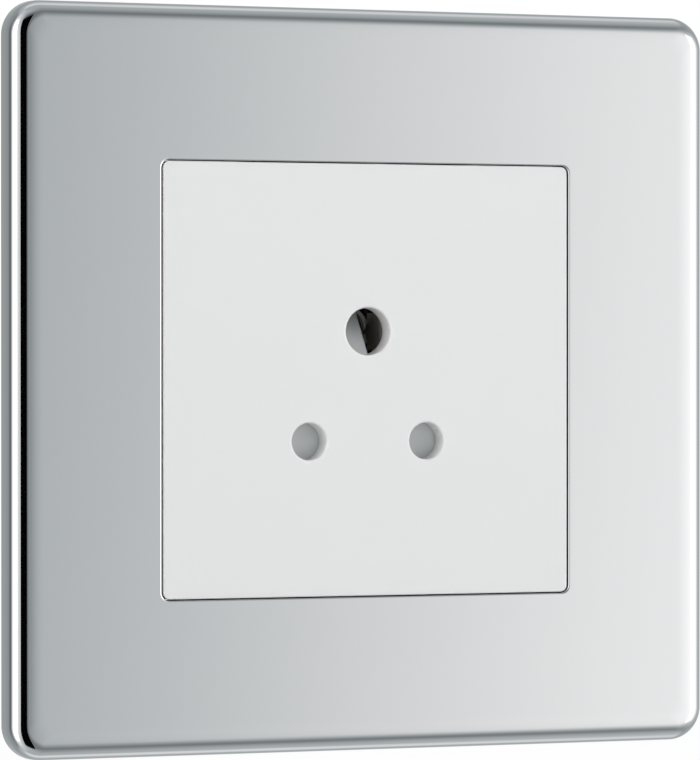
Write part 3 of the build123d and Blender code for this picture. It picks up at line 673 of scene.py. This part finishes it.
# halfway up or down,
MIDDLE_LIGHT = [
    (-180, 0.59), (-125, 0.51), (-112, 0.44), (-99, 0.46), (-90, 0.9), (-82, 1.33), (-70, 1.4), (-58, 1.15),
    (-45, 0.85), (-30, 0.39), (-10, 0.33), (10, 0.33), (30, 0.36), (45, 0.48), (90, 0.56), (110, 0.64),
    (150, 0.65), (180, 0.59),
]
# and high up or low down
HIGH_LIGHT = [
    (-180, 0.77), (-120, 0.8), (-98, 0.9), (-75, 1.04), (-45, 0.85), (-20, 0.75), (0, 0.63), (30, 0.54),
    (50, 0.7), (80, 0.87), (100, 1.0), (120, 1.18), (138, 1.25), (150, 0.9), (180, 0.77),
]
RAMP_TOP = 3.0
# Heights of a direction between which one kind of light changes to the next
LEVEL_TO_MIDDLE = (0.1, 0.72)
MIDDLE_TO_HIGH = (0.7, 0.88)
HIGH_TO_OVERHEAD = (0.88, 0.97)
# Light straight above and below: towards the front, towards the back, and where it changes
OVERHEAD_FRONT, OVERHEAD_BACK = 0.75, 1.27
OVERHEAD_CHANGE = (-0.05, 0.2)
# Each bright card: azimuths in degrees and their softness, height and its softness, brightness
CARDS = [
    (-82, -64, 5.0, 0.45, 0.25, 4.2),
    (46, 64, 7.0, 0.25, 0.2, 5.2),
]
# How much stronger the light is a little below the level than at it, and how far that goes
LOWER_GAIN, LOWER_HEIGHT = 0.032, 0.12
# The tint of weak light, and the brightnesses between which it goes
COOL_TINT = (0.93, 1.0, 1.025, 1.0)
COOL_FADE = (0.6, 1.5)
WHITE = (1.0, 1.0, 1.0, 1.0)


def studio_world(strength):
    """A soft tent of light: dimmer in front, a bright card at each side, soft light above and below.

    Three ramps over the azimuth are blended by the height of the direction,
    and the light straight above and below depends on how far back it is. The
    cards are boxes in azimuth and height with soft edges. All of it is a little
    stronger below the level of the socket than above. The weaker light is a
    little cooler. What the camera sees directly is white."""
    world = bpy.data.worlds.new("studio")
    world.use_nodes = True
    tree = world.node_tree
    tree.nodes.clear()
    place = add(tree, "ShaderNodeTexCoord").outputs["Generated"]
    parts = add(tree, "ShaderNodeSeparateXYZ", {"Vector": place})
    x, y, z = parts.outputs
    height = maths(tree, "ABSOLUTE", z)
    azimuth = maths(tree, "ARCTAN2", x, maths(tree, "MULTIPLY", y, -1.0))
    share_round = maths(tree, "MULTIPLY_ADD", azimuth, 0.5 / math.pi, 0.5)

    def laid(below, above, mask):
        """above laid over below where the mask is one."""
        return maths(tree, "MULTIPLY_ADD", maths(tree, "SUBTRACT", above, below), mask, below)

    def by_azimuth(stops):
        """The brightness that a list of stops gives round the socket."""
        scaled = [((angle + 180) / 360, value / RAMP_TOP) for angle, value in stops]
        return maths(tree, "MULTIPLY", ramp(tree, share_round, scaled), RAMP_TOP)

    def card(low, high, soft, top, top_soft):
        """One between two azimuths in degrees and below a height, with soft edges."""
        rise = smooth(tree, azimuth, math.radians(low - soft), math.radians(low))
        fall = smooth(tree, azimuth, math.radians(high + soft), math.radians(high))
        below = smooth(tree, height, top + top_soft, top)
        return maths(tree, "MULTIPLY", maths(tree, "MULTIPLY", rise, fall), below)

    light = laid(by_azimuth(LEVEL_LIGHT), by_azimuth(MIDDLE_LIGHT), smooth(tree, height, *LEVEL_TO_MIDDLE))
    light = laid(light, by_azimuth(HIGH_LIGHT), smooth(tree, height, *MIDDLE_TO_HIGH))
    overhead = laid(OVERHEAD_FRONT, OVERHEAD_BACK, smooth(tree, y, *OVERHEAD_CHANGE))
    light = laid(light, overhead, smooth(tree, height, *HIGH_TO_OVERHEAD))
    for *place_and_size, brightness in CARDS:
        light = laid(light, brightness, card(*place_and_size))
    lower = add(tree, "ShaderNodeMapRange", {
        "Value": z, "From Min": -LOWER_HEIGHT, "From Max": LOWER_HEIGHT,
        "To Min": strength * (1 + LOWER_GAIN), "To Max": strength * (1 - LOWER_GAIN),
    }).outputs["Result"]
    light = maths(tree, "MULTIPLY", light, lower)
    cool = mixed_colour(tree, smooth(tree, light, *COOL_FADE), COOL_TINT, WHITE)
    tinted = add(tree, "ShaderNodeVectorMath", {0: cool, 1: light}, operation="MULTIPLY").outputs[0]
    seen = add(tree, "ShaderNodeLightPath").outputs["Is Camera Ray"]
    shown = mixed_colour(tree, seen, tinted, WHITE)
    background = add(tree, "ShaderNodeBackground", {"Color": shown, "Strength": 1.0})
    output = add(tree, "ShaderNodeOutputWorld")
    tree.links.new(background.outputs[0], output.inputs["Surface"])
    return world


# The floor: half its width in metres, and its squares along each side
FLOOR_HALF = 1.5
FLOOR_SQUARES = 24
# The scale of the paper's grain, and how far it changes the tone
PAPER_GRAIN = 900.0
PAPER_SHADE = 0.01
# How white the camera sees the floor nearby, and the distances in metres between which it turns all white
FLOOR_WHITE = 0.96
FLOOR_FADE = (0.06, 0.16)


def stage_material(name, tone, roughness, gloss):
    """A plain material for a stage piece, with its tree and its Principled shader."""
    material = bpy.data.materials.new(name)
    material.use_nodes = True
    principled = material.node_tree.nodes["Principled BSDF"]
    principled.inputs["Base Color"].default_value = (*tone, 1.0)
    principled.inputs["Roughness"].default_value = roughness
    principled.inputs["Specular IOR Level"].default_value = gloss
    return material, material.node_tree, principled


def mix_to_output(tree, share_of_second, first, second):
    """Mixes two shaders and links them to the material's output."""
    mixed = add(tree, "ShaderNodeMixShader", {0: share_of_second, 1: first.outputs[0], 2: second.outputs[0]})
    tree.links.new(mixed.outputs[0], tree.nodes["Material Output"].inputs["Surface"])


def floor_piece(tone, level):
    """A wide pale floor under the socket that fades to the white background away from it."""
    way = np.linspace(-FLOOR_HALF, FLOOR_HALF, FLOOR_SQUARES + 1)
    x, y = np.meshgrid(way, way, indexing="ij")
    made = surface("floor", np.stack([x, y, np.full_like(x, level)], 2), False, False)
    material, tree, principled = stage_material("floor paper", tone, roughness=0.8, gloss=0.1)
    place = add(tree, "ShaderNodeTexCoord").outputs["Object"]
    grain = noise(tree, place, PAPER_GRAIN, detail=3.0)
    shade = maths(tree, "MULTIPLY_ADD", grain, PAPER_SHADE, 1.0 - PAPER_SHADE / 2)
    tree.links.new(shaded(tree, tone, shade), principled.inputs["Base Color"])
    away = add(tree, "ShaderNodeVectorMath", {0: place}, operation="LENGTH").outputs["Value"]
    far = smooth(tree, away, *FLOOR_FADE)
    seen = add(tree, "ShaderNodeLightPath").outputs["Is Camera Ray"]
    white = add(tree, "ShaderNodeEmission", {"Color": WHITE, "Strength": 1.0})
    whiter = maths(tree, "MULTIPLY", maths(tree, "MULTIPLY_ADD", far, 1.0 - FLOOR_WHITE, FLOOR_WHITE), seen)
    mix_to_output(tree, whiter, principled, white)
    made.data.materials.append(material)
    made.visible_glossy = False
    return made


# The flag's ends in millimetres, its rows, and its colour
FLAG_LOW, FLAG_HIGH, FLAG_ROWS = -47.0, 45.0, 93
FLAG_TONE = (0.004, 0.004, 0.004)
# How far each of its sides leans at which height above and below the middle, in millimetres
NEAR_LEAN = ((39.5, 0.0), (43.5, 0.77), (45.0, 0.93))
FAR_LEAN = ((41.0, 0.0), (45.0, 0.36))
# The middle of its fading, and how far from there the fading starts and stops, in millimetres
FADE_MIDDLE = -1.0
FLAG_FADE = (44.2, 45.6)


def flag_piece(inner, outer, away):
    """A black flag that only reflections see, upright in front of the plate's left side.

    Both of its sides lean inwards near the plate's corners, and both of its
    ends fade out."""
    z = np.linspace(FLAG_LOW, FLAG_HIGH, FLAG_ROWS) * MM

    def side(outwards, lean):
        """Where a side runs: at its distance outwards, less the lean that its stops give by height."""
        heights, shifts = np.transpose(lean) * MM
        return np.interp(np.abs(z), heights, shifts) - outwards

    x = np.stack([side(outer, FAR_LEAN), side(inner, NEAR_LEAN)], 1)
    made = surface("flag", np.stack([x, np.full_like(x, -away), np.stack([z, z], 1)], 2), False, False)
    material, tree, principled = stage_material("black flag", FLAG_TONE, roughness=1.0, gloss=0.0)
    from_middle = maths(tree, "ABSOLUTE", maths(tree, "SUBTRACT", object_height(tree), FADE_MIDDLE * MM))
    fade = smooth(tree, from_middle, *[height * MM for height in FLAG_FADE])
    mix_to_output(tree, fade, principled, add(tree, "ShaderNodeBsdfTransparent"))
    made.data.materials.append(material)
    made.visible_camera = made.visible_diffuse = made.visible_shadow = False
    made.visible_transmission = made.visible_volume_scatter = False
    return made


# The camera's sensor in millimetres, and the nearest and farthest that it sees in metres
SENSOR_WIDTH = 36.0
NEAREST, FARTHEST = 0.01, 10.0


def camera_piece(s):
    """The camera: a back vector from its azimuth and elevation, turned by its roll, at its distance."""
    a, e, r = s.azimuth, s.elevation, s.roll
    back = np.array([math.sin(a) * math.cos(e), -math.cos(a) * math.cos(e), math.sin(e)])
    right = np.array([math.cos(a), math.sin(a), 0.0])
    up = np.cross(back, right)
    right, up = math.cos(r) * right + math.sin(r) * up, math.cos(r) * up - math.sin(r) * right
    data = bpy.data.cameras.new("camera")
    data.sensor_width = SENSOR_WIDTH
    data.lens = s.lens
    data.shift_x, data.shift_y = s.shift_x, s.shift_y
    data.clip_start, data.clip_end = NEAREST, FARTHEST
    made = bpy.data.objects.new("camera", data)
    turn = Matrix(np.column_stack([right, up, back]).tolist()).to_4x4()
    made.matrix_world = Matrix.Translation(s.distance * back) @ turn
    bpy.context.scene.collection.objects.link(made)
    return made


class SOCKET_OT_stage(bpy.types.Operator):
    """Make the camera, the floor, the black flag and the studio's light"""

    bl_idname = "socket.stage"
    bl_label = "Stage"

    def execute(self, context):
        s = context.scene.socket_stage
        scene = context.scene
        scene.view_settings.view_transform = "Standard"
        scene.world = studio_world(s.light)
        floor_piece(s.floor, CAD_BOX[0][2])
        flag_piece(s.flag_inner, s.flag_outer, s.flag_away)
        scene.camera = camera_piece(s)
        return {"FINISHED"}


class SOCKET_PT_sidebar(bpy.types.Panel):
    """Lists the socket's pieces"""

    bl_idname = "SOCKET_PT_sidebar"
    bl_label = "Round pin socket"
    bl_space_type = "VIEW_3D"
    bl_region_type = "UI"
    bl_category = "Socket"

    def draw(self, context):
        for operator in OPERATORS:
            self.layout.operator(operator.bl_idname)


SETTINGS = {
    "socket_plate": PlateSettings,
    "socket_mouldings": MouldingSettings,
    "socket_metal": MetalSettings,
    "socket_stage": StageSettings,
}
OPERATORS = (
    SOCKET_OT_plate,
    SOCKET_OT_mouldings,
    SOCKET_OT_metalwork,
    SOCKET_OT_spring,
    SOCKET_OT_stage,
)


def register():
    """Registers the settings, the operators and the panel."""
    for name, group in SETTINGS.items():
        bpy.utils.register_class(group)
        setattr(bpy.types.Scene, name, bpy.props.PointerProperty(type=group))
    for kind in (*OPERATORS, SOCKET_PT_sidebar):
        bpy.utils.register_class(kind)


def unregister():
    """Takes back what register added."""
    for kind in reversed((*OPERATORS, SOCKET_PT_sidebar)):
        bpy.utils.unregister_class(kind)
    for name, group in SETTINGS.items():
        delattr(bpy.types.Scene, name)
        bpy.utils.unregister_class(group)


def main():
    """Makes every piece in order."""
    register()
    bpy.ops.socket.plate()
    bpy.ops.socket.mouldings()
    bpy.ops.socket.metalwork()
    bpy.ops.socket.spring()
    bpy.ops.socket.stage()


if __name__ == "__main__":
    main()
